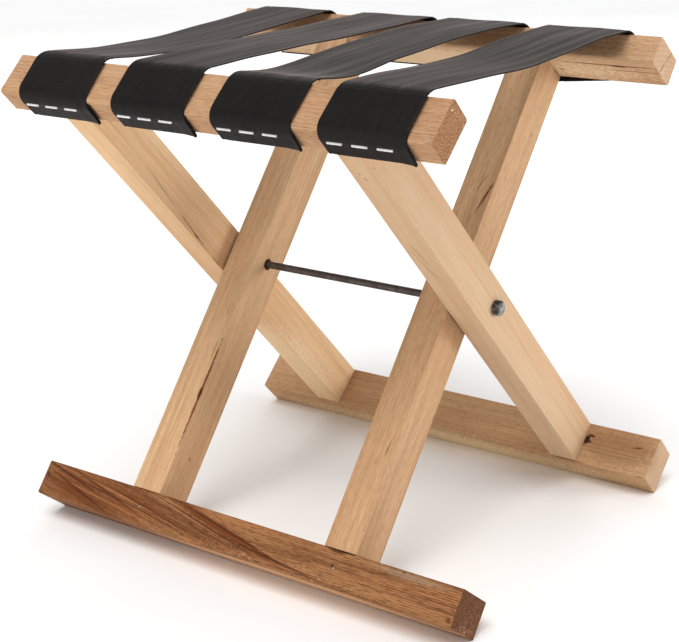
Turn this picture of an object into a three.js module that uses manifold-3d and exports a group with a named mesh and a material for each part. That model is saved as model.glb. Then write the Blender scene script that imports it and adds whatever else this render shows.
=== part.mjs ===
// Folding luggage rack. Two crossed wooden frames turn on one steel rod, and four webbing straps
// stapled between their top rails hold them apart.
// Millimetres, +Z up. X runs along the rails, and the origin is on the floor below the rod.

import * as THREE from 'three';
import { mergeVertices } from 'three/addons/utils/BufferGeometryUtils.js';
import Module from 'manifold-3d';

const wasm = await Module();
wasm.setup();

// Stance: how far each frame leans from upright, how high above the floor the middles of the two
// frames cross, and how far above that crossing the rod runs.
const outerLean = THREE.MathUtils.degToRad(42.2);
const innerLean = THREE.MathUtils.degToRad(39.7);
const crossingHeight = 211;
const rodRise = 1.8;

// Distance along the legs from the crossing to the middle of each top rail.
const outerTopReach = 250;
const innerTopReach = 240;

// Rails. Depth runs along the legs and width across them.
const railLength = 440;
const frontTopRailLength = 420;
const frontTopRailShift = 5;
const topRail = { depth: 25, width: 39, edge: 2.5 };
const bottomRail = { depth: 31, width: 41, edge: 1.5 };

// Legs. Side runs along the rails and width across the leg, in the plane that the rack folds in.
const outerLeg = { side: 28, width: 39, centre: 136, edge: 1.2 };
const innerLeg = { side: 31, width: 39, centre: 104, edge: 1.2 };

// Each leg ends in a tenon that fills a share of its rail's depth and is held there by a brad.
const tenon = { side: 13, width: 24, share: 0.8 };
const brad = { radius: 1.1, length: 29, sink: 0.6 };

// Rod, its end caps, and the washers that keep the two frames apart.
const rodRadius = 3.2;
const cap = { radius: 6.5, thickness: 5.5, wall: 1.6, edge: 0.8 };
const rodRecess = { radius: 5.2, depth: 9 };
const washerRadius = 9;

// Webbing straps: how far apart their middles are, how far they sag below a straight line, and how far
// each hem stops short of its rail's lower edge.
const strapWidth = 76;
const strapPitch = 101;
const strapThickness = 1.4;
const strapSag = 5;
const hemInset = 1.5;
const strapCentres = [-1.5, -0.5, 0.5, 1.5].map((step) => frontTopRailShift + step * strapPitch);

// Wire staples, three through each hem, a little above the middle of the rail's face.
const staple = { crown: 13, leg: 9, wire: 1.4, thickness: 1.1, pitch: 21.5, shift: 2.5, rise: 4 };

// Clearance between pieces that touch, and how far a cut starts outside the surface that it enters.
const gap = 0.3;
const overcut = 1;

// Flat facets in a quarter turn of each rounded edge or bend, and in a full turn of each round piece.
const quarterFacets = { rail: 5, leg: 3, strap: 10, washer: 16 };
const turnFacets = { rod: 32, brad: 16, cap: 40 };

const colours = {
  outerLeg: 0xe6c396,
  innerLeg: 0xcda27a,
  frontTopRail: 0xd7a57d,
  backTopRail: 0xd2a078,
  backBottomRail: 0xcd9b6e,
  frontBottomRail: 0x966441,
  strap: 0x232326,
  staple: 0xc8c8c8,
  steel: 0x4b4644,
};

const rack = new THREE.Group();
rack.name = 'folding_luggage_rack';

// ---- helpers ----

// A frame is drawn upright with the crossing at its origin, then leaned about it and lifted.
function placeOnFrame(mesh, lean) {
  mesh.rotation.x = lean;
  mesh.position.z = crossingHeight;
}

function addPart(name, geometry, colour, lean = null, metalness = 0, roughness = 0.7) {
  const material = new THREE.MeshStandardMaterial({ color: colour, metalness, roughness });
  const mesh = new THREE.Mesh(geometry, material);
  mesh.name = name;
  if (lean !== null) placeOnFrame(mesh, lean);
  rack.add(mesh);
}

function toSolid(geometry) {
  const bare = new THREE.BufferGeometry();
  bare.setAttribute('position', geometry.getAttribute('position'));
  bare.setIndex(geometry.getIndex());
  const merged = mergeVertices(bare, 1e-4);
  const mesh = new wasm.Mesh({
    numProp: 3,
    vertProperties: new Float32Array(merged.getAttribute('position').array),
    triVerts: new Uint32Array(merged.getIndex().array),
  });
  return new wasm.Manifold(mesh);
}

function toGeometry(solid) {
  const mesh = solid.getMesh();
  const indexed = new THREE.BufferGeometry();
  indexed.setAttribute('position', new THREE.BufferAttribute(mesh.vertProperties, 3));
  indexed.setIndex(new THREE.BufferAttribute(mesh.triVerts, 1));
  const geometry = indexed.toNonIndexed();
  geometry.computeVertexNormals();
  return geometry;
}

function block(sizeX, sizeY, sizeZ, x, y, z) {
  return toSolid(new THREE.BoxGeometry(sizeX, sizeY, sizeZ).translate(x, y, z));
}

function roundedRectangle(width, height, radius) {
  const right = width / 2 - radius;
  const top = height / 2 - radius;
  const shape = new THREE.Shape();
  shape.absarc(right, top, radius, 0, Math.PI / 2);
  shape.absarc(-right, top, radius, Math.PI / 2, Math.PI);
  shape.absarc(-right, -top, radius, Math.PI, 1.5 * Math.PI);
  shape.absarc(right, -top, radius, 1.5 * Math.PI, 2 * Math.PI);
  return shape;
}

// Extrudes an outline drawn in Y and Z along X, centred on the given X.
function extrudeAlongX(shape, length, centreX, curveSegments) {
  const options = { depth: length, bevelEnabled: false, curveSegments };
  const geometry = new THREE.ExtrudeGeometry(shape, options);
  const alongX = new THREE.Matrix4().makeBasis(
    new THREE.Vector3(0, 1, 0),
    new THREE.Vector3(0, 0, 1),
    new THREE.Vector3(1, 0, 0),
  );
  return geometry.applyMatrix4(alongX).translate(centreX - length / 2, 0, 0);
}

// A cylinder round the rod's line, in the own directions of a frame with the given lean.
function cylinderOnRod(radius, length, centreX, lean) {
  const cylinder = new THREE.CylinderGeometry(radius, radius, length, turnFacets.rod);
  cylinder.rotateZ(Math.PI / 2);
  return placeOnRod(cylinder, centreX, lean);
}

// Moves a piece that is drawn round the X axis onto the rod's line.
function placeOnRod(geometry, centreX, lean) {
  return geometry.translate(centreX, rodRise * Math.sin(lean), rodRise * Math.cos(lean));
}

// ---- the two frames ----

// A bottom rail stands on its rounded lower corner, so its reach follows from the crossing's height.
function bottomReach(lean) {
  const { depth, width, edge } = bottomRail;
  const cornerDrop = (depth / 2 - edge) * Math.cos(lean) + (width / 2 - edge) * Math.sin(lean) + edge;
  return (crossingHeight - cornerDrop) / Math.cos(lean);
}

// Outward is the side, along the frame's own Y, of the face that takes the rail's brads and hems.
const outerFrame = {
  lean: outerLean,
  leg: outerLeg,
  top: { section: topRail, height: outerTopReach, outward: -1 },
  bottom: { section: bottomRail, height: -bottomReach(outerLean), outward: -1 },
};
const innerFrame = {
  lean: -innerLean,
  leg: innerLeg,
  top: { section: topRail, height: innerTopReach, outward: 1 },
  bottom: { section: bottomRail, height: -bottomReach(innerLean), outward: -1 },
};

// The height where the leg's shoulder meets the rail, and the height where its tenon ends.
function jointHeights(rail) {
  const towardsRail = Math.sign(rail.height);
  const railFace = rail.height - towardsRail * rail.section.depth / 2;
  return {
    shoulder: railFace - towardsRail * gap,
    tenonEnd: railFace + towardsRail * rail.section.depth * tenon.share,
    towardsRail,
  };
}

function bradMiddle(rail) {
  return rail.outward * (rail.section.width / 2 - brad.sink - brad.length / 2);
}

function bradSolid(radius, length, x, rail) {
  const shank = new THREE.CylinderGeometry(radius, radius, length, turnFacets.brad);
  return shank.translate(x, bradMiddle(rail), rail.height);
}

// The hole runs past the brad at both ends, and is open at the rail's outward face.
function bradHole(x, rail) {
  const length = brad.length + 2 * (brad.sink + gap);
  return toSolid(bradSolid(brad.radius + gap, length, x, rail));
}

function mortise(x, rail) {
  const { shoulder, tenonEnd, towardsRail } = jointHeights(rail);
  const end = tenonEnd + towardsRail * gap;
  const middle = (shoulder + end) / 2;
  return block(tenon.side + 2 * gap, tenon.width + 2 * gap, Math.abs(end - shoulder), x, 0, middle);
}

function stapleOffsets() {
  return [-1, 0, 1].map((step) => step * staple.pitch - staple.shift);
}

function staplePlaces() {
  return strapCentres.flatMap((centre) => stapleOffsets().map((offset) => centre + offset));
}

// How far a staple's legs reach below the rail's outward face.
const stapleDepth = staple.leg - 2 * strapThickness - 2 * gap;

function stapleLegCuts(x, startY, depth, outward, height) {
  const width = staple.thickness + 2 * gap;
  const middleY = startY - outward * depth / 2;
  const wide = staple.wire + 2 * gap;
  const spread = (staple.crown - staple.thickness) / 2;
  return [-spread, spread].map((side) => block(width, depth, wide, x + side, middleY, height));
}

function makeRail(frame, rail, length, shift, stapled) {
  const { depth, width, edge } = rail.section;
  const bar = extrudeAlongX(roundedRectangle(width, depth, edge), length, shift, quarterFacets.rail);
  let solid = toSolid(bar.translate(0, 0, rail.height));
  for (const x of [-frame.leg.centre, frame.leg.centre]) {
    solid = solid.subtract(mortise(x, rail)).subtract(bradHole(x, rail));
  }
  if (stapled) {
    const cutDepth = overcut + stapleDepth + gap;
    const startY = rail.outward * (width / 2 + overcut);
    for (const x of staplePlaces()) {
      const cuts = stapleLegCuts(x, startY, cutDepth, rail.outward, rail.height + staple.rise);
      for (const cut of cuts) solid = solid.subtract(cut);
    }
  }
  return toGeometry(solid);
}

function makeLeg(frame, x, recessed) {
  const { lean } = frame;
  const { side, width, edge } = frame.leg;
  const upper = jointHeights(frame.top);
  const lower = jointHeights(frame.bottom);
  const length = upper.shoulder - lower.shoulder;
  const bar = new THREE.ExtrudeGeometry(roundedRectangle(side, width, edge), {
    depth: length,
    bevelEnabled: false,
    curveSegments: quarterFacets.leg,
  });
  let solid = toSolid(bar.translate(x, 0, lower.shoulder));
  const tenonLength = upper.tenonEnd - lower.tenonEnd;
  const tenonMiddle = (upper.tenonEnd + lower.tenonEnd) / 2;
  solid = solid.add(block(tenon.side, tenon.width, tenonLength, x, 0, tenonMiddle));
  solid = solid.subtract(bradHole(x, frame.top)).subtract(bradHole(x, frame.bottom));
  solid = solid.subtract(toSolid(cylinderOnRod(rodRadius + gap, side + 2 * overcut, x, lean)));
  if (recessed) {
    const insideFace = x - Math.sign(x) * side / 2;
    const recess = cylinderOnRod(rodRecess.radius, 2 * rodRecess.depth, insideFace, lean);
    solid = solid.subtract(toSolid(recess));
  }
  return toGeometry(solid);
}

function addFrame(frame, label, colour, recessed) {
  for (const [sideName, sign] of [['left', -1], ['right', 1]]) {
    const x = sign * frame.leg.centre;
    addPart(`${label}_leg_${sideName}`, makeLeg(frame, x, recessed), colour, frame.lean);
    for (const [endName, rail] of [['top', frame.top], ['bottom', frame.bottom]]) {
      const shank = bradSolid(brad.radius, brad.length, x, rail);
      addPart(`${label}_${endName}_brad_${sideName}`, shank, colours.steel, frame.lean, 1, 0.5);
    }
  }
}

function addRails() {
  const frontTop = makeRail(outerFrame, outerFrame.top, frontTopRailLength, frontTopRailShift, true);
  addPart('front_top_rail', frontTop, colours.frontTopRail, outerFrame.lean);
  const backBottom = makeRail(outerFrame, outerFrame.bottom, railLength, 0, false);
  addPart('back_bottom_rail', backBottom, colours.backBottomRail, outerFrame.lean);
  const backTop = makeRail(innerFrame, innerFrame.top, railLength, 0, true);
  addPart('back_top_rail', backTop, colours.backTopRail, innerFrame.lean);
  const frontBottom = makeRail(innerFrame, innerFrame.bottom, railLength, 0, false);
  addPart('front_bottom_rail', frontBottom, colours.frontBottomRail, innerFrame.lean);
}

// ---- rod, caps and washers ----

function makeRod(faceX) {
  const halfLength = faceX + gap + cap.thickness - cap.wall - gap;
  return cylinderOnRod(rodRadius, 2 * halfLength, 0, outerLean);
}

// A turned cap with a blind bore for the end of the rod, its outer rim eased.
function makeCap(faceX, sign) {
  const bore = rodRadius + gap;
  const profile = [
    [bore, 0],
    [cap.radius, 0],
    [cap.radius, cap.thickness - cap.edge],
    [cap.radius - cap.edge, cap.thickness],
    [0, cap.thickness],
    [0, cap.thickness - cap.wall],
    [bore, cap.thickness - cap.wall],
    [bore, 0],
  ].map(([radius, along]) => new THREE.Vector2(radius, along));
  const geometry = new THREE.LatheGeometry(profile, turnFacets.cap);
  geometry.rotateZ(-sign * Math.PI / 2);
  return placeOnRod(geometry, sign * (faceX + gap), outerLean);
}

function makeWasher(sign) {
  const inner = innerLeg.centre + innerLeg.side / 2 + gap;
  const outer = outerLeg.centre - outerLeg.side / 2 - gap;
  const shape = new THREE.Shape().absarc(0, 0, washerRadius, 0, 2 * Math.PI);
  shape.holes.push(new THREE.Path().absarc(0, 0, rodRadius + gap, 0, 2 * Math.PI));
  const washer = extrudeAlongX(shape, outer - inner, 0, quarterFacets.washer);
  return placeOnRod(washer, sign * (inner + outer) / 2, outerLean);
}

function addRodSet() {
  const faceX = outerLeg.centre + outerLeg.side / 2;
  addPart('pivot_rod', makeRod(faceX), colours.steel, outerFrame.lean, 1, 0.45);
  for (const [sideName, sign] of [['left', -1], ['right', 1]]) {
    addPart(`rod_cap_${sideName}`, makeCap(faceX, sign), colours.steel, outerFrame.lean, 1, 0.4);
    addPart(`leg_washer_${sideName}`, makeWasher(sign), colours.steel, outerFrame.lean, 1, 0.4);
  }
}

// ---- straps and staples ----

// A point of a frame, given across (local Y) and along (local Z), in the rack's Y and Z.
function frameToRack(frame, across, along) {
  return new THREE.Vector2(
    across * Math.cos(frame.lean) - along * Math.sin(frame.lean),
    crossingHeight + across * Math.sin(frame.lean) + along * Math.cos(frame.lean),
  );
}

// The centres of the two rounded rail edges that a strap bends over, and its hem's end.
function wrapPoints(frame) {
  const { height, outward } = frame.top;
  const edgeAcross = topRail.width / 2 - topRail.edge;
  const edgeAlong = height + topRail.depth / 2 - topRail.edge;
  const hemAlong = height - topRail.depth / 2 + hemInset;
  const hemAcross = (offset) => outward * (topRail.width / 2 + offset);
  return {
    outerEdge: frameToRack(frame, outward * edgeAcross, edgeAlong),
    ridge: frameToRack(frame, -outward * edgeAcross, edgeAlong),
    hemEnd: (offset) => frameToRack(frame, hemAcross(offset), hemAlong),
  };
}

// The slope, as an angle, at both ends of a parabola that sags between two points.
function sagSlope(front, back) {
  return Math.atan(4 * strapSag / (back.x - front.x));
}

// A parabola with the given end slope, so that it runs smoothly out of one bend and into the other.
function sagTo(shape, from, to, slope) {
  const middle = (from.x + to.x) / 2;
  const control = (from.y + to.y) / 2 - Math.abs(to.x - from.x) / 2 * Math.tan(slope);
  shape.quadraticCurveTo(middle, control, to.x, to.y);
}

function arcEnd(centre, radius, angle) {
  return new THREE.Vector2(centre.x + radius * Math.cos(angle), centre.y + radius * Math.sin(angle));
}

// One closed outline: along the strap's upper face from hem to hem, then back along its lower face.
// Each hem is folded under, so it is two layers thick.
function strapOutline() {
  const quarter = Math.PI / 2;
  const front = wrapPoints(outerFrame);
  const back = wrapPoints(innerFrame);
  const slope = sagSlope(front.ridge, back.ridge);
  const frontUp = quarter + outerLean;
  const backUp = quarter - innerLean;
  const under = topRail.edge + gap;
  const over = under + strapThickness;
  const hem = over + strapThickness;
  const shape = new THREE.Shape();
  const start = front.hemEnd(gap);
  const frontHem = front.hemEnd(gap + 2 * strapThickness);
  shape.moveTo(start.x, start.y);
  shape.lineTo(frontHem.x, frontHem.y);
  shape.absellipse(front.outerEdge.x, front.outerEdge.y, hem, over, Math.PI, quarter, true, outerLean);
  shape.absarc(front.ridge.x, front.ridge.y, over, frontUp, quarter - slope, true);
  sagTo(
    shape,
    arcEnd(front.ridge, over, quarter - slope),
    arcEnd(back.ridge, over, quarter + slope),
    slope,
  );
  shape.absarc(back.ridge.x, back.ridge.y, over, quarter + slope, backUp, true);
  shape.absellipse(back.outerEdge.x, back.outerEdge.y, hem, over, quarter, 0, true, -innerLean);
  const backHem = back.hemEnd(gap + 2 * strapThickness);
  const backStart = back.hemEnd(gap);
  shape.lineTo(backHem.x, backHem.y);
  shape.lineTo(backStart.x, backStart.y);
  shape.absarc(back.outerEdge.x, back.outerEdge.y, under, -innerLean, backUp, false);
  shape.absarc(back.ridge.x, back.ridge.y, under, backUp, quarter + slope, false);
  sagTo(
    shape,
    arcEnd(back.ridge, under, quarter + slope),
    arcEnd(front.ridge, under, quarter - slope),
    slope,
  );
  shape.absarc(front.ridge.x, front.ridge.y, under, quarter - slope, frontUp, false);
  shape.absarc(front.outerEdge.x, front.outerEdge.y, under, frontUp, Math.PI + outerLean, false);
  return shape;
}

// The staple legs' cuts, turned from the frame's own directions into the rack's.
function hemCuts(frame, centre) {
  const { height, outward } = frame.top;
  const startY = outward * (topRail.width / 2 + 2 * strapThickness + 2 * gap);
  const depth = 2 * strapThickness + 3 * gap;
  const places = stapleOffsets().map((offset) => centre + offset);
  const cuts = places.flatMap((x) => stapleLegCuts(x, startY, depth, outward, height + staple.rise));
  const degrees = THREE.MathUtils.radToDeg(frame.lean);
  return cuts.map((cut) => cut.rotate([degrees, 0, 0]).translate([0, 0, crossingHeight]));
}

function makeStrap(centre) {
  let solid = toSolid(extrudeAlongX(strapOutline(), strapWidth, centre, quarterFacets.strap));
  for (const frame of [outerFrame, innerFrame]) {
    for (const cut of hemCuts(frame, centre)) solid = solid.subtract(cut);
  }
  return toGeometry(solid);
}

// A wire bent into a U: the crown lies on the hem and both legs go through it into the rail.
function makeStaple(x, frame) {
  const { crown, leg, wire, thickness, rise } = staple;
  const outline = new THREE.Shape();
  outline.moveTo(-crown / 2, 0);
  outline.lineTo(-crown / 2, -leg);
  outline.lineTo(-crown / 2 + thickness, -leg);
  outline.lineTo(-crown / 2 + thickness, -thickness);
  outline.lineTo(crown / 2 - thickness, -thickness);
  outline.lineTo(crown / 2 - thickness, -leg);
  outline.lineTo(crown / 2, -leg);
  outline.lineTo(crown / 2, 0);
  const { height, outward } = frame.top;
  const geometry = new THREE.ExtrudeGeometry(outline, { depth: wire, bevelEnabled: false });
  geometry.translate(0, 0, -wire / 2);
  if (outward < 0) geometry.rotateZ(Math.PI);
  const top = topRail.width / 2 + 2 * strapThickness + 2 * gap + thickness;
  return geometry.translate(x, outward * top, height + rise);
}

function addStraps() {
  strapCentres.forEach((centre, index) => {
    const number = index + 1;
    addPart(`strap_${number}`, makeStrap(centre), colours.strap, null, 0, 0.6);
    for (const [endName, frame] of [['front', outerFrame], ['back', innerFrame]]) {
      stapleOffsets().forEach((offset, place) => {
        const geometry = makeStaple(centre + offset, frame);
        addPart(`staple_${endName}_${number}_${place + 1}`, geometry, colours.staple, frame.lean, 1, 0.3);
      });
    }
  });
}

addRails();
addFrame(outerFrame, 'outer', colours.outerLeg, false);
addFrame(innerFrame, 'inner', colours.innerLeg, true);
addRodSet();
addStraps();

export default rack;
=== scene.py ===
"""Looks for a folding luggage rack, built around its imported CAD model.

Metres, +Z up, X along the rails. The wooden pieces, the rod, caps, washers, brads and staples are the
CAD pieces with procedural materials. The four webbing straps are meshes made here.
"""

import math

import bpy
import numpy as np
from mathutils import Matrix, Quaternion, Vector
from mathutils.geometry import intersect_line_line


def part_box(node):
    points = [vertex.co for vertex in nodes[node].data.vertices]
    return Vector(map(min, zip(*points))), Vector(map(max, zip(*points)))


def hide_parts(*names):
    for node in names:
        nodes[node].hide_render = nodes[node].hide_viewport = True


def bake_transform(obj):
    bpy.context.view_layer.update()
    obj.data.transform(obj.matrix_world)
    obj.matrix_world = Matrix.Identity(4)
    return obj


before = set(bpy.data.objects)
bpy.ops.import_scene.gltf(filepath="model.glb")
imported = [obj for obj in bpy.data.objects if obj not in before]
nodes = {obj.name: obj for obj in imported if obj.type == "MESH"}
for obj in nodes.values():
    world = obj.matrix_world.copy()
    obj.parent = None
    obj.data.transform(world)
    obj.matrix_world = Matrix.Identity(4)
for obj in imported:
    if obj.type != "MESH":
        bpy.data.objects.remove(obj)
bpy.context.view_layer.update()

MM = 0.001

# Camera: the way it looks at the rack, in degrees, where it stands, and its lens.
CAMERA_AZIMUTH = 37.02
CAMERA_ELEVATION = 18.76
CAMERA_ROLL = -1.85
CAMERA_PLACE = Vector((0.7784, -1.0450, 0.6175))
CAMERA_LENS_MM = 83.1

# Webbing. The pitch is the distance between two cross ribs, and the steps are those of its mesh.
WEB_THICKNESS = 1.3 * MM
RIB_PITCH = 2.2 * MM
RIB_HEIGHT = 0.26 * MM
STEPS_PER_RIB = 4
ACROSS_STEP = 4.0 * MM

# Selvedges, the webbing's two woven edges: their width, the groove beside each, the share of a rib's
# height that is left on them, the width and share of thickness of the thin rim, and how far in from
# the rim the extra rows of points are.
SELVEDGE = 3.5 * MM
SELVEDGE_GROOVE = 0.25 * MM
SELVEDGE_RIBS = 0.35
RIM = 0.5 * MM
RIM_THICKNESS = 0.7
EDGE_ROWS = np.array([0.35 * MM, 1.2 * MM, 0.75 * SELVEDGE])

# How a strap lies on its rail: the middle of each layer above the rail's face, how far a hem stops
# short of the rail's edge, how far up its tucked end reaches from the rail's middle, how tightly the
# hem is folded, and how high and how softly the strap bends over the rail's outer edge and its ridge.
TUCK_CLEAR = 0.95 * MM
HEM_CLEAR = 2.5 * MM
TOP_CLEAR = 1.0 * MM
HEM_INSET = 1.2 * MM
TUCK_END = 9.0 * MM
FOLD_RADIUS = 0.77 * MM
EDGE_LIFT = 1.6 * MM
EDGE_RADIUS = 11.0 * MM
RIDGE_LIFT = 1.4 * MM
RIDGE_RADIUS = 20.0 * MM

# How high the webbing's shallow waves are, how long they are across and along it, how many mm further
# on a strap lies to have its waves one wave on, and how far down a hem they die out, as a share of it.
WAVE_HEIGHT = 0.4 * MM
WAVE_ACROSS = 52.0 * MM
WAVE_ALONG = 83.0 * MM
WAVE_SHIFT = 7.0
WAVES_END = 1 / 3

# The lower corners of the front hems curl away from the rail by up to this much, over this distance.
CURL = 2.2 * MM
CURL_REACH = 16.0 * MM

# A strap's line has this many straight steps between the ridges, and turns by up to this in one step.
# A corner that turns by less than the last of these, in radians, isn't rounded.
SPAN_STEPS = 40
FOLD_STEP = math.radians(12)
LEAST_TURN = 0.001

# Each strap's middle, in mm along the rails, at its front hem, front ridge and back ridge. Then how far
# it hangs below a straight line between the two ridges, as (share of the way back, mm), and how many mm
# its back hem drops at its left edge and climbs at its right.
STRAPS = {
    "strap_1": {"lie": (-142.5, -147.0, -155.0), "sag": ((0.2, 5.5), (0.42, 7.6), (0.7, 4.5)), "skew": 0.0},
    "strap_2": {"lie": (-42.5, -43.0, -40.0), "sag": ((0.3, -0.8), (0.65, 0.6)), "skew": 0.0},
    "strap_3": {"lie": (57.5, 58.5, 54.5), "sag": ((0.13, 5.0), (0.36, 1.5), (0.75, -2.5)), "skew": 0.0},
    "strap_4": {"lie": (156.8, 158.0, 154.5), "sag": ((0.12, 0.8), (0.45, 4.7), (0.85, 0.0)), "skew": 4.5},
}

# Wood: how many times a metre each kind of unevenness repeats along the grain, and in the two
# directions across it. The last two are alike in all directions.
RING_WANDER = (4, 14, 14)
RING_WOBBLE = (14, 90, 90)
RING_FADING = (5, 45, 45)
TONE = (3, 26, 26)
WARMTH = (5, 60, 60)
STREAKS = (7, 230, 230)
FIBRES = (16, 700, 700)
PORES = (130, 1500, 1500)
END_PORES = 880
MARK_EDGE = 350

# How far the rings wobble, how deep the wood's relief is, how many metres of grain lie between one
# timber's and the next, and how far to either side of a rail's middle its slant fades out.
WOBBLE = 0.8 * MM
WOOD_RELIEF = 0.25 * MM
TIMBER_SPACING = 3.7
SLANT_FADES = 60.0 * MM

# The edge of a mark on a timber, in half widths of the mark: how ragged it is, and between which two
# distances from the mark's middle it fades out.
MARK_RAGGED = 0.9
MARK_FADES = (0.9, 1.5)

# Webbing colour: repeats a metre across the strap (X) and in its side view (Y and Z), and the relief
# of its threads.
THREADS = (1500, 60, 60)
CLOTH_PATCHES = (14, 9, 9)
CLOTH_STREAKS = (160, 5, 5)
THREAD_RELIEF = 0.12 * MM

# Timber edges: how widely they are rounded, from what angle on, and how close points are to be joined.
EDGE_ROUND = 0.6 * MM
EDGE_ANGLE = math.radians(50)
WELD_REACH = 0.02 * MM

# The floor's half size, in metres, and the point that the lights are aimed at.
FLOOR_REACH = 40.0
LIT_POINT = Vector((0, 0, 0.2))


# ---- where things are ----


def middle(node):
    """The middle of a CAD piece's box."""
    low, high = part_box(node)
    return (low + high) / 2


def half_reach(node, direction):
    """Half of a CAD piece's size along a direction."""
    reach = [v.co.dot(direction) for v in nodes[node].data.vertices]
    return (max(reach) - min(reach)) / 2


class LegFrame:
    """One of the two leaning frames, in the rack's side view.

    up runs along its legs and out is the way its strap hems face. lean is its turn about X from upright.
    """

    def __init__(self, top_rail, bottom_rail, hem_side):
        self.top = middle(top_rail)
        self.top.x = 0
        self.up = (self.top - middle(bottom_rail)) * Vector((0, 1, 1))
        self.up.normalize()
        self.out = hem_side * Vector((0, self.up.z, -self.up.y))
        self.lean = math.atan2(-self.up.y, self.up.z)
        self.half_width = half_reach(top_rail, self.out)
        self.half_depth = half_reach(top_rail, self.up)

    def at(self, out, up):
        """The Y and Z of a point this far outward and up from the top rail's middle."""
        place = self.top + self.out * out + self.up * up
        return np.array([place.y, place.z])


# The outer frame's top rail is at the front and the inner frame's at the back.
OUTER = LegFrame("front_top_rail", "back_bottom_rail", -1)
INNER = LegFrame("back_top_rail", "front_bottom_rail", 1)
CROSSING = intersect_line_line(OUTER.top, OUTER.top - OUTER.up, INNER.top, INNER.top - INNER.up)[0]


# ---- materials ----


def colour(red, green, blue):
    """A colour given as screen values from 0 to 255."""
    linear = [((c / 255 + 0.055) / 1.055) ** 2.4 if c > 10 else c / 255 / 12.92 for c in (red, green, blue)]
    return (*linear, 1.0)


class Graph:
    """One material's nodes. Each method adds a node and returns what it gives out."""

    def __init__(self, name):
        self.material = bpy.data.materials.new(name)
        self.material.use_nodes = True
        self.tree = self.material.node_tree
        self.shader = self.tree.nodes["Principled BSDF"]

    def feed(self, socket, value):
        if isinstance(value, bpy.types.NodeSocket):
            self.tree.links.new(value, socket)
        else:
            socket.default_value = value

    def node(self, kind, inputs, output=0, **settings):
        made = self.tree.nodes.new("ShaderNode" + kind)
        for name, value in settings.items():
            setattr(made, name, value)
        for key, value in inputs.items():
            self.feed(made.inputs[key], value)
        return made.outputs[output]

    def maths(self, operation, first, second=0.0):
        return self.node("Math", {0: first, 1: second}, operation=operation)

    def times(self, first, second):
        return self.maths("MULTIPLY", first, second)

    def plus(self, first, second):
        return self.maths("ADD", first, second)

    def stretched(self, vector, scale):
        return self.node("VectorMath", {0: vector, 1: scale}, operation="MULTIPLY")

    def length(self, vector):
        return self.node("VectorMath", {0: vector}, output="Value", operation="LENGTH")

    def noise(self, vector, scale, detail=3.0, roughness=0.55):
        """Noise from about 0.25 to 0.75, its middle value 0.5, with this many repeats a metre."""
        inputs = {"Vector": vector, "Scale": scale, "Detail": detail, "Roughness": roughness}
        return self.node("TexNoise", inputs)

    def long_noise(self, vector, repeats, detail=3.0, roughness=0.55):
        """The same noise, with its own repeats a metre along each axis."""
        return self.noise(self.stretched(vector, repeats), 1.0, detail, roughness)

    def between(self, value, low, high, start=0.0, end=1.0):
        """A value turned smoothly from low..high into start..end, and held there outside it."""
        inputs = {"Value": value, 1: low, 2: high, 3: start, 4: end}
        return self.node("MapRange", inputs, interpolation_type="SMOOTHSTEP")

    def mix(self, share, first, second, blend="MIX"):
        inputs = {0: share, 6: first, 7: second}
        return self.node("Mix", inputs, output=2, data_type="RGBA", blend_type=blend)

    def bump(self, height, distance, strength):
        return self.node("Bump", {"Height": height, "Distance": distance, "Strength": strength})

    def surface(self, **inputs):
        for name, value in inputs.items():
            self.feed(self.shader.inputs[name.replace("_", " ")], value)
        return self.material


def place_on_frame(graph, leg_frame):
    """Coordinates from the crossing: X along the rails, Y across the frame's legs, Z along them."""
    at = graph.node("TexCoord", {}, output="Object")
    inputs = {"Vector": at, "Location": CROSSING, "Rotation": (leg_frame.lean, 0, 0)}
    return graph.node("Mapping", inputs, vector_type="TEXTURE")


def bent_grain(graph, local, slant):
    """The same coordinates with the grain climbing by slant to the left, and level at the right."""
    x = graph.node("SeparateXYZ", {0: local})
    climb = graph.times(graph.between(x, -SLANT_FADES, SLANT_FADES, slant, 0.0), x)
    shift = graph.node("CombineXYZ", {2: climb})
    return graph.node("VectorMath", {0: local, 1: shift}, operation="ADD")


def along_grain(graph, local, is_leg, seed):
    """Coordinates with X along the grain, moved away from those of the other timbers."""
    parts = graph.tree.nodes.new("ShaderNodeSeparateXYZ")
    graph.feed(parts.inputs[0], local)
    x, y, z = parts.outputs
    order = (z, y, x) if is_leg else (x, y, z)
    turned = graph.node("CombineXYZ", {0: order[0], 1: order[1], 2: order[2]})
    return graph.node("VectorMath", {0: turned, 1: (seed * TIMBER_SPACING, 0, 0)}, operation="ADD")


def end_grain(graph, is_leg, lean):
    """1 on a timber's sawn ends and 0 on its long faces."""
    facing = graph.node("TexCoord", {}, output="Normal")
    axis = (0, -math.sin(lean), math.cos(lean)) if is_leg else (1, 0, 0)
    turned = graph.node("VectorMath", {0: facing, 1: axis}, output="Value", operation="DOT_PRODUCT")
    return graph.between(graph.maths("ABSOLUTE", turned), 0.6, 0.8)


def growth_rings(graph, grain, pith, ring, wave):
    """Late wood: 1 on the dark line that ends each year's ring, falling slowly to 0 before it."""
    wander = graph.long_noise(grain, RING_WANDER, 2.0)
    wobble = graph.long_noise(grain, RING_WOBBLE, 2.0)
    from_pith = graph.node("VectorMath", {0: grain, 1: (0, -pith[0] * MM, -pith[1] * MM)}, operation="ADD")
    radius = graph.length(graph.stretched(from_pith, (0.0, 1.0, 1.0)))
    radius = graph.plus(radius, graph.times(wander, wave * MM))
    radius = graph.plus(radius, graph.times(wobble, WOBBLE))
    cycle = graph.maths("FRACT", graph.times(radius, 1 / (ring * MM)))
    late = graph.times(graph.between(cycle, 0.2, 0.8), graph.between(cycle, 0.84, 1.0, 1.0, 0.0))
    fading = graph.between(graph.long_noise(grain, RING_FADING, 2.0), 0.38, 0.62, 0.35, 1.0)
    return graph.times(late, fading)


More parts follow.
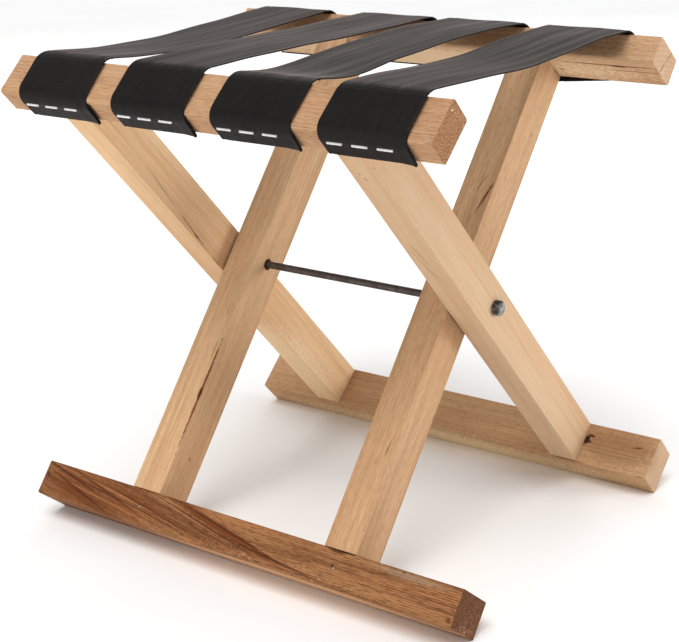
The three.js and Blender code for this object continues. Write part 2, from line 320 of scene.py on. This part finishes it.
def marked(graph, local, shade, marks):
    """The timber's colour with its marks laid over it, each with a slightly ragged edge: the wood's own
    marks, and some painted light and painted shade.
    """
    ragged = graph.times(graph.noise(local, MARK_EDGE), MARK_RAGGED)
    for start, end, width, tint, strength in marks:
        start = Vector(start) * MM
        end = Vector(end) * MM
        along = end - start
        inputs = {
            "Vector": local,
            "Location": (start + end) / 2,
            "Rotation": along.to_track_quat("Z", "Y").to_euler(),
            "Scale": (width / 2 * MM, width / 2 * MM, along.length / 2),
        }
        place = graph.node("Mapping", inputs, vector_type="TEXTURE")
        share = graph.between(graph.plus(graph.length(place), ragged), *MARK_FADES, strength, 0.0)
        shade = graph.mix(share, shade, tint)
    return shade


def wood(
    name,
    leg_frame,
    seed,
    light,
    dark,
    end,
    pith,
    ring,
    rings,
    is_leg=False,
    wave=3.0,
    fibres=0.2,
    flecks=0.2,
    blotch=0.3,
    streaks=0.18,
    coarse=0.3,
    slant=0.0,
    marks=(),
):
    """Sawn timber: growth rings round a pith line, fibres, pores and slow changes of tone.

    light, dark and end are the colours of early wood, late wood and the sawn ends. pith is where the
    rings' middle lies across the grain, ring their spacing and wave how far they wander, in mm. rings,
    fibres, flecks, blotch and streaks say how dark each of those is, from 0 to 1, and coarse how dark
    the pores on the sawn ends are. slant is how steeply the grain climbs at the left.
    """
    graph = Graph(name)
    local = place_on_frame(graph, leg_frame)
    grain = along_grain(graph, bent_grain(graph, local, slant), is_leg, seed)
    is_end = end_grain(graph, is_leg, leg_frame.lean)
    late = growth_rings(graph, grain, pith, ring, wave)

    tone = graph.long_noise(grain, TONE)
    warmth = graph.long_noise(grain, WARMTH, 2.0)
    streak = graph.long_noise(grain, STREAKS, 2.0)
    fibre = graph.long_noise(grain, FIBRES, 3.0, 0.6)
    open_pores = graph.between(graph.long_noise(grain, PORES, 1.0), 0.50, 0.68)
    end_pores = graph.between(graph.noise(grain, END_PORES, 3.0, 0.75), 0.47, 0.60)

    shade = graph.mix(graph.times(late, rings), light, dark)
    shade = graph.mix(graph.times(graph.between(tone, 0.32, 0.68), blotch), shade, dark)
    shade = graph.mix(graph.times(graph.between(warmth, 0.35, 0.65), 0.12), shade, ROSY, "SOFT_LIGHT")
    shade = graph.mix(graph.times(graph.between(streak, 0.46, 0.66), streaks), shade, dark)
    shade = graph.mix(graph.times(graph.between(fibre, 0.35, 0.7), fibres), shade, dark)
    shade = graph.mix(graph.times(open_pores, flecks), shade, dark, "MULTIPLY")
    sawn = graph.mix(graph.times(late, 0.3), end, dark)
    sawn = graph.mix(graph.times(end_pores, coarse), sawn, dark, "MULTIPLY")
    shade = marked(graph, local, graph.mix(is_end, shade, sawn), marks)

    height = graph.plus(graph.times(fibre, 0.6), graph.times(late, -0.25))
    height = graph.plus(height, graph.times(open_pores, -0.5))
    height = graph.plus(height, graph.times(graph.times(end_pores, is_end), -0.8))
    rough = graph.plus(graph.times(tone, 0.25), 0.48)
    normal = graph.bump(height, WOOD_RELIEF, 0.8)
    return graph.surface(Base_Color=shade, Roughness=rough, Normal=normal, Specular_IOR_Level=0.12)


ROSY = colour(196, 120, 100)
PALE = colour(240, 214, 174)
SAPWOOD = colour(208, 164, 124)
RUSSET = colour(104, 52, 20)
TAN = colour(178, 122, 74)
BROWN = colour(116, 64, 26)
DARK = colour(74, 38, 16)
BLACK = colour(36, 16, 5)
GREY = colour(168, 146, 124)

# Each timber's wood and the marks on it. A mark is a streak or patch between two places on the leaning
# frame, in mm from the crossing (X along the rails, Y across the legs, Z along them), and then its width,
# its tint and its strength from 0 to 1. Most marks are the wood's own; a few are painted light or painted
# shade, each said so where it stands.
TIMBERS = {
    "front_top_rail": {
        "leg_frame": OUTER, "seed": 1, "pith": (140, 420), "ring": 2.3, "rings": 0.30, "wave": 1.5,
        "light": colour(200, 164, 126), "dark": colour(147, 99, 68), "end": colour(178, 132, 92),
        "flecks": 0.35, "coarse": 0.75,
        "marks": (
            ((208, -17.5, 262.5), (214, -16, 262.5), 3.0, GREY, 0.9),
            ((215, 11, 258), (215, 13, 259), 4.0, PALE, 0.7),
            ((-204, -4, 262.5), (-150, -2, 262.5), 1.6, BROWN, 0.35),
        ),
    },
    "back_bottom_rail": {
        "leg_frame": OUTER, "seed": 2, "pith": (-160, -480), "ring": 2.0, "rings": 0.22, "wave": 1.5,
        "light": colour(208, 173, 131), "dark": colour(145, 96, 61), "end": colour(196, 164, 132),
        "flecks": 0.3, "coarse": 0.12,
        "marks": (
            # Painted shade: the right part of the top face darker, standing in for the shadow of the straps
            # and legs above it.
            ((140, 0, -236), (232, 0, -236), 46, RUSSET, 0.4),
            # Painted light: the front face and the underside lighter all along, standing in for light
            # bounced up from the floor.
            ((-250, -34, -262), (250, -34, -262), 60, PALE, 0.85),
            ((151.5, -3, -236), (152.5, 10, -236), 6.0, BLACK, 0.95),
            ((151, 9, -236), (160, 7, -236), 4.0, DARK, 0.85),
            ((151, 1, -236), (158, 3, -236), 3.4, DARK, 0.85),
            ((197, 5.6, -236), (209, 7.1, -236), 1.4, BLACK, 0.9),
            ((207, -20.5, -238.2), (219, -20.5, -237), 1.8, DARK, 0.8),
            ((118, -20.5, -236.5), (160, -20.5, -236.5), 2.4, DARK, 0.65),
            ((139, -20.5, -255.8), (142, -20.5, -255.8), 1.6, BROWN, 0.8),
            ((168, -4, -236), (219, -3, -236), 1.2, BROWN, 0.35),
        ),
    },
    "back_top_rail": {
        "leg_frame": INNER, "seed": 3, "pith": (60, 130), "ring": 4.0, "rings": 0.22, "wave": 2.5,
        "light": colour(206, 171, 132), "dark": colour(160, 106, 70), "end": colour(200, 166, 134),
        "flecks": 0.3, "coarse": 0.2,
        "marks": (
            # Painted light: the underside lighter all along, standing in for light bounced up from the
            # floor.
            ((-250, 4, 222), (250, 4, 222), 50, PALE, 0.7),
            # Painted shade: the front face darker and redder all along, standing in for the shadow of the
            # straps above it.
            ((-250, -25, 240), (250, -25, 240), 34, RUSSET, 0.35),
            ((120, -8.5, 227.5), (240, -8.5, 227.5), 2.4, BROWN, 0.9),
            ((165, -1, 227.5), (240, -1, 227.5), 1.8, BROWN, 0.75),
            ((176, -7.5, 227.5), (194, -7.5, 227.5), 2.6, DARK, 0.95),
            ((220, 8, 254), (220, 2.0, 240), 1.8, BROWN, 0.8),
            ((220, 2.6, 242), (220, -3.5, 226), 1.8, BROWN, 0.8),
            ((123, 4, 227.5), (129, 6, 227.5), 2.4, DARK, 0.8),
        ),
    },
    "front_bottom_rail": {
        "leg_frame": INNER, "seed": 4, "pith": (60, -560), "ring": 1.9, "rings": 0.55, "wave": 2.0,
        "light": colour(184, 132, 86), "dark": colour(84, 44, 20), "end": colour(122, 76, 44),
        "fibres": 0.4, "flecks": 0.5, "blotch": 0.3, "streaks": 0.6, "coarse": 0.8, "slant": 0.13,
        "marks": (
            ((-130, 3, -258), (240, 3, -258), 50, SAPWOOD, 0.85),
            ((-240, -20.5, -240), (-60, -20.5, -246), 44, RUSSET, 0.6),
            ((-206, -20.5, -233), (-27, -20.5, -255), 2.6, DARK, 0.8),
            ((-157, -20.5, -231), (-40, -20.5, -252), 2.0, DARK, 0.7),
            ((-196, -20.5, -229), (-66, -20.5, -247), 2.2, TAN, 0.4),
            ((-214, -20.5, -238), (-62, -20.5, -257), 1.8, TAN, 0.35),
            ((-150, -20.5, -240), (-60, -20.5, -252), 1.8, TAN, 0.35),
            ((-95, -20.5, -229), (-10, -20.5, -247), 2.0, TAN, 0.35),
            ((-218, -20.5, -241), (-110, -20.5, -256), 1.6, DARK, 0.55),
            ((-120, -20.5, -229), (-58, -20.5, -240), 1.2, DARK, 0.5),
            ((-90, -20.5, -224), (70, -20.5, -257), 9.0, RUSSET, 0.9),
            ((-84, -20.5, -224), (76, -20.5, -256), 2.6, DARK, 0.8),
            ((-96, -20.5, -228), (50, -20.5, -257), 2.2, DARK, 0.8),
            ((-20, -20.5, -244), (110, -20.5, -257), 3.0, DARK, 0.75),
            ((-230, -20.5, -226), (-140, -20.5, -246), 3.4, DARK, 0.75),
            ((-225, -20.5, -232), (-130, -20.5, -258), 3.0, DARK, 0.75),
            ((-200, -20.5, -226), (-90, -20.5, -252), 3.0, DARK, 0.7),
            ((-220, -20.5, -236), (-213, -20.5, -243), 5.0, DARK, 0.7),
            ((86, -20.5, -227.5), (127, -20.5, -227.5), 2.4, BLACK, 0.95),
            ((95, -20.5, -228.5), (112, -20.5, -229.5), 3.0, DARK, 0.7),
            ((-120, -20.5, -227.5), (-88, -20.5, -227.5), 1.6, DARK, 0.8),
            ((164, -20.5, -228.6), (169, -20.5, -229.2), 2.4, BLACK, 0.9),
            ((102.4, -20.5, -241), (104.4, -20.5, -240.8), 5.0, BLACK, 0.95),
            ((-104.6, -20.5, -241), (-103.4, -20.5, -240.8), 3.6, DARK, 0.8),
            ((130, -20.5, -230.5), (214, -20.5, -231.5), 7.0, GREY, 0.35),
            ((214, -20.5, -255), (219, -20.5, -252), 6.0, DARK, 0.6),
            ((220, 0, -251), (220, 9, -249), 6.0, DARK, 0.6),
        ),
    },
    "outer_leg_right": {
        "leg_frame": OUTER, "seed": 5, "is_leg": True, "pith": (400, 300), "ring": 4.5, "rings": 0.10,
        "light": colour(209, 181, 148), "dark": colour(184, 134, 88), "end": colour(214, 170, 122),
        "fibres": 0.14, "flecks": 0.08, "blotch": 0.22,
        "marks": (
            ((149, -19.5, 221), (149, -19.5, 224), 1.6, BROWN, 0.55),
            ((132, -19.5, 208), (135, -19.5, 204), 2.4, BROWN, 0.45),
            ((130, -19.5, 213), (131, -19.5, 210), 1.6, BROWN, 0.4),
            ((130, -19.5, 127), (136, -19.5, 92), 1.0, BROWN, 0.5),
            ((133, -19.5, 121), (139, -19.5, 84), 0.9, BROWN, 0.45),
            ((127, -19.5, 122), (133, -19.5, 82), 1.0, BROWN, 0.5),
            ((130, -19.5, 100), (137, -19.5, 66), 1.0, BROWN, 0.5),
            ((134, -19.5, 92), (142, -19.5, 60), 0.9, BROWN, 0.4),
            # Painted shade: a thin brown line along the front face's left edge, standing in for the shaded
            # round of that edge.
            ((122.3, -19.5, 214), (122.3, -19.5, 74), 1.0, BROWN, 0.45),
        ),
    },
    "outer_leg_left": {
        "leg_frame": OUTER, "seed": 6, "is_leg": True, "pith": (420, 180), "ring": 4.5, "rings": 0.12,
        "light": colour(238, 204, 162), "dark": colour(178, 126, 78), "end": colour(214, 170, 122),
        "fibres": 0.16, "flecks": 0.10, "blotch": 0.30,
        "marks": (
            # Painted light: the lower part of the leg lighter, its front face most, standing in for light
            # from the floor and the front.
            ((-139, -22, -60), (-139, -22, -250), 62, PALE, 0.6),
            ((-122, -7.8, 159), (-122, -13.5, 100), 1.1, BROWN, 0.65),
            ((-122, -12.5, 108), (-122, -18.5, 38), 1.5, BROWN, 0.75),
            ((-122, -16, 72), (-122, -17, 58), 2.6, DARK, 0.55),
            ((-122, -17.8, 40), (-122, -19.2, 16), 1.1, DARK, 0.6),
        ),
    },
    "inner_leg_right": {
        "leg_frame": INNER, "seed": 7, "is_leg": True, "pith": (380, 260), "ring": 4.0, "rings": 0.16,
        "light": colour(213, 177, 137), "dark": colour(150, 101, 60), "end": colour(200, 150, 110),
        "fibres": 0.22, "flecks": 0.25, "blotch": 0.32,
        "marks": (
            ((110, -19.5, 70), (118.5, -19.5, 106), 3.4, BROWN, 0.75),
            ((113, -19.5, 84), (118, -19.5, 104), 2.2, DARK, 0.6),
            ((103.5, -19.5, 92), (110.5, -19.5, 112), 1.6, BROWN, 0.65),
            ((108, -19.5, 74), (106, -19.5, 60), 1.4, BROWN, 0.5),
            ((98, -19.5, 92), (99, -19.5, 108), 1.4, BROWN, 0.35),
            ((113, -19.5, -131), (112, -19.5, -148), 1.4, DARK, 0.7),
            ((119.5, 17.6, 164), (119.5, 19.5, 165), 3.4, BLACK, 0.9),
            ((119.5, 6, 160), (119.5, 9, 166), 3.0, BROWN, 0.3),
            ((119.5, 3, 226.5), (119.5, 18, 227), 2.4, DARK, 0.6),
        ),
    },
    "inner_leg_left": {
        "leg_frame": INNER, "seed": 8, "is_leg": True, "pith": (360, -340), "ring": 4.0, "rings": 0.16,
        "light": colour(216, 181, 141), "dark": colour(156, 107, 64), "end": colour(200, 150, 110),
        "fibres": 0.20, "flecks": 0.20, "blotch": 0.30,
        "marks": (
            ((-89.3, -19.5, -66), (-89.3, -19.5, -198), 3.4, BROWN, 0.95),
            ((-90.2, -19.5, -126), (-89.4, -19.5, -140), 4.4, DARK, 0.9),
            ((-93.5, -19.5, -80), (-93, -19.5, -102), 1.4, BROWN, 0.6),
            ((-88.5, 0, -186), (-88.5, 1.5, -190), 2.2, BROWN, 0.7),
            ((-97, -19.5, -46), (-95, -19.5, -62), 1.2, BROWN, 0.55),
        ),
    },
}


def webbing():
    """Black woven webbing: fine warp threads along the strap and a soft sheen."""
    graph = Graph("webbing")
    at = graph.node("TexCoord", {}, output="Object")
    threads = graph.long_noise(at, THREADS, 2.0)
    patches = graph.long_noise(at, CLOTH_PATCHES)
    streaks = graph.long_noise(at, CLOTH_STREAKS)
    tone = graph.plus(graph.times(patches, 0.5), graph.times(streaks, 0.5))
    shade = graph.mix(graph.between(tone, 0.35, 0.65), colour(9, 7, 7), colour(21, 17, 15))
    shade = graph.mix(graph.times(graph.between(threads, 0.4, 0.7), 0.35), shade, colour(32, 27, 25))
    rough = graph.plus(graph.times(streaks, 0.5), 0.26)
    return graph.surface(
        Base_Color=shade,
        Roughness=rough,
        Normal=graph.bump(threads, THREAD_RELIEF, 0.6),
        Specular_IOR_Level=0.14,
        Sheen_Weight=0.20,
        Sheen_Roughness=0.22,
        Sheen_Tint=(1.0, 0.54, 0.42, 1.0),
    )


def metal(name, base, worn, scale, roughness, relief, metallic):
    """Metal with a mottled skin, worn lighter and smoother in patches. scale is their repeats a metre."""
    graph = Graph(name)
    at = graph.node("TexCoord", {}, output="Object")
    skin = graph.noise(at, scale, 4.0, 0.6)
    fine = graph.noise(at, scale * 6, 2.0)
    patches = graph.between(skin, 0.42, 0.62)
    shade = graph.mix(patches, base, worn)
    rough = graph.plus(graph.times(patches, -0.15), graph.plus(graph.times(fine, 0.2), roughness))
    height = graph.plus(skin, graph.times(fine, 0.4))
    return graph.surface(
        Base_Color=shade,
        Roughness=rough,
        Metallic=metallic,
        Normal=graph.bump(height, relief, 0.7),
    )


# Each kind of metal, by the words that its pieces have in their names.
METALS = {
    "pivot_rod": {
        "name": "rod_steel", "base": colour(72, 62, 58), "worn": colour(86, 76, 71),
        "scale": 160, "roughness": 0.46, "relief": 0.03 * MM, "metallic": 0.6,
    },
    "rod_cap": {
        "name": "cap_steel", "base": colour(66, 63, 62), "worn": colour(146, 146, 148),
        "scale": 150, "roughness": 0.42, "relief": 0.08 * MM, "metallic": 0.85,
    },
    "leg_washer": {
        "name": "washer_steel", "base": colour(120, 118, 115), "worn": colour(160, 158, 154),
        "scale": 260, "roughness": 0.38, "relief": 0.06 * MM, "metallic": 0.9,
    },
    "brad": {
        "name": "brad_steel", "base": colour(170, 168, 164), "worn": colour(214, 212, 208),
        "scale": 500, "roughness": 0.32, "relief": 0.05 * MM, "metallic": 0.9,
    },
    "staple": {
        "name": "staple_wire", "base": colour(226, 225, 222), "worn": colour(250, 250, 248),
        "scale": 420, "roughness": 0.30, "relief": 0.02 * MM, "metallic": 0.25,
    },
}


def paint(material, names):
    for name in names:
        slots = nodes[name].data.materials
        slots.clear()
        slots.append(material)


def dress_timbers():
    for name, timber in TIMBERS.items():
        paint(wood(name + "_wood", **timber), [name])


def dress_metal():
    for words, look in METALS.items():
        paint(metal(**look), [name for name in nodes if words in name])


# ---- straps ----


def rounded(points, radii):
    """A line through points, each corner rounded to its own radius. A radius of 0 keeps the point."""
    line = [points[0]]
    for before, corner, after, radius in zip(points, points[1:], points[2:], radii):
        back = (before - corner) / np.linalg.norm(before - corner)
        ahead = (after - corner) / np.linalg.norm(after - corner)
        turn = math.pi - math.acos(np.clip(back @ ahead, -1, 1))
        if radius == 0 or turn < LEAST_TURN:
            line.append(corner)
            continue
        towards = (back + ahead) / np.linalg.norm(back + ahead)
        centre = corner + towards * radius / math.cos(turn / 2)
        steps = max(2, math.ceil(turn / FOLD_STEP))
        for step in range(steps + 1):
            angle = turn * (step / steps - 0.5)
            across = (ahead - back) / np.linalg.norm(ahead - back)
            line.append(centre + radius * (across * math.sin(angle) - towards * math.cos(angle)))
    line.append(points[-1])
    return np.array(line)


def smooth_through(knots, share):
    """A smooth curve that passes through the knots, at shares from 0 to 1 of its way."""
    at, value = np.array(knots, float).T
    slope = np.gradient(value, at)
    place = np.clip(np.searchsorted(at, share) - 1, 0, len(at) - 2)
    width = at[place + 1] - at[place]
    t = (share - at[place]) / width
    return (
        value[place] * (1 + 2 * t) * (1 - t) ** 2
        + slope[place] * width * t * (1 - t) ** 2
        + value[place + 1] * t * t * (3 - 2 * t)
        + slope[place + 1] * width * t * t * (t - 1)
    )


def wrap_corners(leg_frame):
    """One end of a strap, from its tucked end to the ridge, as the corners of a line and their radii."""
    face = leg_frame.half_width
    top = leg_frame.half_depth
    hem_end = -top + HEM_INSET
    corners = [
        leg_frame.at(face + TUCK_CLEAR, TUCK_END),
        leg_frame.at(face + TUCK_CLEAR, hem_end),
        leg_frame.at(face + HEM_CLEAR, hem_end),
        leg_frame.at(face + HEM_CLEAR, 0),
        leg_frame.at(face + HEM_CLEAR + EDGE_LIFT / 2, top + TOP_CLEAR + EDGE_LIFT),
        leg_frame.at(-face - RIDGE_LIFT, top + TOP_CLEAR + RIDGE_LIFT),
    ]
    return corners, [FOLD_RADIUS, FOLD_RADIUS, 0, EDGE_RADIUS, RIDGE_RADIUS]


def strap_line(sag):
    """The middle line of a strap in the side view, from front hem to back hem, and its ridge points."""
    front, front_radii = wrap_corners(OUTER)
    back, back_radii = wrap_corners(INNER)
    share = np.arange(1, SPAN_STEPS) / SPAN_STEPS
    span = np.outer(1 - share, front[-1]) + np.outer(share, back[-1])
    span[:, 1] -= smooth_through([(0, 0), *sag, (1, 0)], share) * MM
    points = [*front, *span, *reversed(back)]
    radii = [*front_radii, *[0] * len(span), *reversed(back_radii)]
    return rounded(points, radii), front[-1], back[-1]


def evenly(line, step):
    """The same line with its points an even step apart, and the distance along it at each point."""
    lengths = np.linalg.norm(np.diff(line, axis=0), axis=1)
    along = np.concatenate([[0], np.cumsum(lengths)])
    count = round(along[-1] / step)
    even = np.linspace(0, along[-1], count + 1)
    return np.stack([np.interp(even, along, line[:, i]) for i in (0, 1)], axis=1), even


def across_places(width):
    """Places across a strap, closer together at its two woven edges."""
    half = width / 2
    inner = half - SELVEDGE
    flat = np.linspace(-inner, inner, round(2 * inner / ACROSS_STEP) + 1)
    edge = half - EDGE_ROWS
    return np.concatenate([-edge, flat, edge[::-1]])


def hem_reach(line, leg_frame):
    """0 along most of a strap, rising to 1 down the hem on one frame's top rail."""
    place = line - leg_frame.at(0, 0)
    outward = place @ np.array([leg_frame.out.y, leg_frame.out.z])
    upward = place @ np.array([leg_frame.up.y, leg_frame.up.z])
    down = np.clip((leg_frame.half_depth - upward) / (2 * leg_frame.half_depth), 0, 1)
    return np.where(outward > leg_frame.half_width, down, 0)


def skin_height(along, places, width):
    """How far the webbing's upper skin is from its middle, with its ribs and woven edges."""
    rib = RIB_HEIGHT / 2 * np.cos(2 * math.pi * along / RIB_PITCH)
    from_edge = width / 2 - np.abs(places)
    body = np.clip((from_edge - SELVEDGE / 2) / (SELVEDGE / 2), 0, 1)
    groove = SELVEDGE_GROOVE * np.exp(-(((from_edge - SELVEDGE) / (SELVEDGE / 3)) ** 2))
    half = WEB_THICKNESS / 2 * np.where(from_edge < RIM, RIM_THICKNESS, 1.0) - groove
    return half[None, :] + rib[:, None] * (SELVEDGE_RIBS + (1 - SELVEDGE_RIBS) * body[None, :])


def waves(line, along, across, lies_at):
    """How far the webbing stands up in shallow waves, which die out on the hems."""
    free = 1 - np.clip(np.maximum(hem_reach(line, OUTER), hem_reach(line, INNER)) / WAVES_END, 0, 1)
    slanting = across[None, :] / WAVE_ACROSS + along[:, None] / WAVE_ALONG + lies_at / WAVE_SHIFT
    return WAVE_HEIGHT * free[:, None] * (1 + np.sin(2 * math.pi * slanting)) / 2


def strap_rings(line, along, centre, width, lies_at, skew):
    """A strap's points: at each step along its line, one ring of them round the webbing."""
    ahead = np.gradient(line, axis=0)
    ahead /= np.linalg.norm(ahead, axis=1)[:, None]
    above = np.stack([-ahead[:, 1], ahead[:, 0]], axis=1)

    places = across_places(width)
    across = np.concatenate([places, [width / 2], places[::-1], [-width / 2]])
    skin = skin_height(along, places, width)
    woven_edge = np.zeros((len(line), 1))
    lift = np.concatenate([skin, woven_edge, -skin[:, ::-1], woven_edge], axis=1)
    lift += waves(line, along, across, lies_at)

    climb = skew * MM * np.outer(hem_reach(line, INNER), across / (width / 2))
    near_corner = np.clip(1 - (width / 2 - across) / CURL_REACH, 0, 1) ** 2
    curl = CURL * np.outer(hem_reach(line, OUTER) ** 2, near_corner)
    x = centre[:, None] + across[None, :]
    y = line[:, None, 0] + lift * above[:, None, 0]
    z = line[:, None, 1] + lift * above[:, None, 1]
    y += climb * INNER.up.y + curl * OUTER.out.y
    z += climb * INNER.up.z + curl * OUTER.out.z
    return np.stack([x, y, z], axis=2)


def end_faces(start, size):
    """The faces that close one end of a strap, whose ring of points begins at start."""
    upper = size // 2 - 1
    faces = []
    for j in range(upper - 1):
        opposite = 2 * upper - j
        faces.append((start + j, start + j + 1, start + opposite - 1, start + opposite))
    faces.append((start + upper - 1, start + upper, start + upper + 1))
    faces.append((start + 2 * upper, start + 2 * upper + 1, start))
    return faces


def tube_faces(count, size):
    """The faces of a closed tube of count rings with size points each."""
    faces = []
    for i in range(count - 1):
        for j in range(size):
            after = (j + 1) % size
            faces.append((i * size + j, i * size + after, (i + 1) * size + after, (i + 1) * size + j))
    faces += [face[::-1] for face in end_faces(0, size)]
    faces += end_faces((count - 1) * size, size)
    return faces


def strap_mesh(name, lie, sag, skew):
    """A closed flat tube of webbing: an upper and a lower skin, joined along both woven edges."""
    low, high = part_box(name)
    width = high.x - low.x
    line, *ridges = strap_line(sag)
    line, along = evenly(line, RIB_PITCH / STEPS_PER_RIB)
    ridge_at = [along[np.argmin(np.linalg.norm(line - ridge, axis=1))] for ridge in ridges]
    centre = np.interp(along, [along[0], *ridge_at, along[-1]], [*lie, lie[-1]]) * MM
    rings = strap_rings(line, along, centre, width, lie[0], skew)
    count, size = rings.shape[:2]

    mesh = bpy.data.meshes.new(name + "_webbing")
    mesh.from_pydata(rings.reshape(-1, 3).tolist(), [], tube_faces(count, size))
    mesh.polygons.foreach_set("use_smooth", [True] * len(mesh.polygons))
    mesh.update()
    piece = bpy.data.objects.new(name + "_webbing", mesh)
    bpy.context.scene.collection.objects.link(piece)
    return piece, (width, along[-1]), ridges


def make_straps():
    material = webbing()
    for name, shape in STRAPS.items():
        piece, flat, ridges = strap_mesh(name, **shape)
        piece.data.materials.append(material)
        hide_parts(name)
        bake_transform(piece)


# ---- studio ----


def soften_edges():
    """A small round on every sawn edge and drilled hole of the timbers."""
    for name in TIMBERS:
        weld = nodes[name].modifiers.new("weld", "WELD")
        weld.merge_threshold = WELD_REACH
        bevel = nodes[name].modifiers.new("eased_edges", "BEVEL")
        bevel.width = EDGE_ROUND
        bevel.segments = 2
        bevel.limit_method = "ANGLE"
        bevel.angle_limit = EDGE_ANGLE


def make_floor():
    corners = [(x * FLOOR_REACH, y * FLOOR_REACH, 0) for x, y in ((-1, -1), (1, -1), (1, 1), (-1, 1))]
    mesh = bpy.data.meshes.new("floor")
    mesh.from_pydata(corners, [], [(0, 1, 2, 3)])
    floor = bpy.data.objects.new("floor", mesh)
    bpy.context.scene.collection.objects.link(floor)
    graph = Graph("floor_paper")
    at = graph.node("TexCoord", {}, output="Object")
    tone = graph.between(graph.noise(at, 3.0), 0.3, 0.7)
    shade = graph.mix(tone, colour(249, 249, 249), colour(252, 252, 252))
    mesh.materials.append(graph.surface(Base_Color=shade, Roughness=0.9))


def add_light(name, kind, place, **settings):
    """A light aimed at the rack. It doesn't show in the picture itself."""
    light = bpy.data.lights.new(name, kind)
    for key, value in settings.items():
        setattr(light, key, value)
    lamp = bpy.data.objects.new(name, light)
    lamp.location = place
    lamp.rotation_mode = "QUATERNION"
    lamp.rotation_quaternion = (LIT_POINT - Vector(place)).to_track_quat("-Z", "Y")
    lamp.visible_camera = False
    bpy.context.scene.collection.objects.link(lamp)


def light_studio():
    world = bpy.data.worlds.new("studio")
    world.use_nodes = True
    background = world.node_tree.nodes["Background"]
    background.inputs["Color"].default_value = (1.0, 1.0, 1.0, 1.0)
    background.inputs["Strength"].default_value = 0.5
    scene = bpy.context.scene
    scene.world = world
    scene.view_settings.view_transform = "Standard"
    add_light("overhead", "SUN", (0.1, -0.45, 1.2), energy=1.8, angle=math.radians(36))
    add_light("right_side", "AREA", (1.5, 0.8, 0.35), energy=11, shape="SQUARE", size=0.5)
    add_light("front", "AREA", (-0.4, -2.2, 0.45), energy=13, shape="SQUARE", size=1.2)
    warm = (1.0, 0.93, 0.88)
    add_light("behind", "AREA", (-1.4, 2.0, 1.4), energy=12, shape="SQUARE", size=1.6, color=warm)


def add_camera():
    data = bpy.data.cameras.new("camera")
    data.sensor_width = 36
    data.lens = CAMERA_LENS_MM
    camera = bpy.data.objects.new("camera", data)
    azimuth = math.radians(CAMERA_AZIMUTH)
    elevation = math.radians(CAMERA_ELEVATION)
    flat = math.cos(elevation)
    looks = Vector((-math.sin(azimuth) * flat, math.cos(azimuth) * flat, -math.sin(elevation)))
    camera.rotation_mode = "QUATERNION"
    roll = Quaternion((0, 0, 1), math.radians(CAMERA_ROLL))
    camera.rotation_quaternion = looks.to_track_quat("-Z", "Y") @ roll
    camera.location = CAMERA_PLACE
    bpy.context.scene.collection.objects.link(camera)
    bpy.context.scene.camera = camera


dress_timbers()
dress_metal()
soften_edges()
make_straps()
make_floor()
light_studio()
add_camera()
